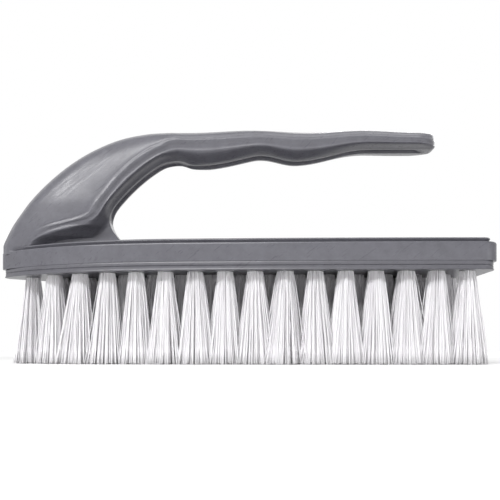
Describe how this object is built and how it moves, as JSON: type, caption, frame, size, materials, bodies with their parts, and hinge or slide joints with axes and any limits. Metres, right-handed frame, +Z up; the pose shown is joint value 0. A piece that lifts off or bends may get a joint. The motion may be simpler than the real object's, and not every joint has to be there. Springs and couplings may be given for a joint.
{
  "type": "scrub brush",
  "caption": "Hand scrub brush: an iron-shaped block with an open grip handle over it, rooted at the nose, and staggered stiff bristle tufts below.",
  "frame": {"origin": "centre of the bounding box's base, on the plane of the bristle tips", "axes": "+X towards the rear and the handle's free tip, +Y to the left of someone pushing it nose first, +Z up from the bristle tips to the handle"},
  "size_m": [0.18, 0.06, 0.0879],
  "materials": {
    "grey_plastic": "satin moulded plastic with a fine flow and scuff texture",
    "block_plastic": "satin moulded plastic, slightly darker",
    "white_filament": "stiff white synthetic filament"
  },
  "bodies": {
    "root": {"handle_moulding": "grey_plastic", "bristle_block": "block_plastic", "tuft_row_01": "white_filament", "tuft_row_02": "white_filament", "tuft_row_03": "white_filament", "tuft_row_04": "white_filament", "tuft_row_05": "white_filament", "tuft_row_06": "white_filament", "tuft_row_07": "white_filament", "tuft_row_08": "white_filament", "tuft_row_09": "white_filament", "tuft_row_10": "white_filament", "tuft_row_11": "white_filament", "tuft_row_12": "white_filament", "tuft_row_13": "white_filament", "tuft_row_14": "white_filament", "tuft_row_15": "white_filament", "tuft_row_16": "white_filament", "tuft_row_17": "white_filament", "tuft_row_18": "white_filament", "tuft_row_19": "white_filament", "tuft_row_20": "white_filament", "tuft_row_21": "white_filament", "tuft_row_22": "white_filament", "tuft_row_23": "white_filament", "tuft_row_24": "white_filament", "tuft_row_25": "white_filament", "tuft_row_26": "white_filament", "tuft_row_27": "white_filament", "tuft_row_28": "white_filament"}
  },
  "joints": []
}
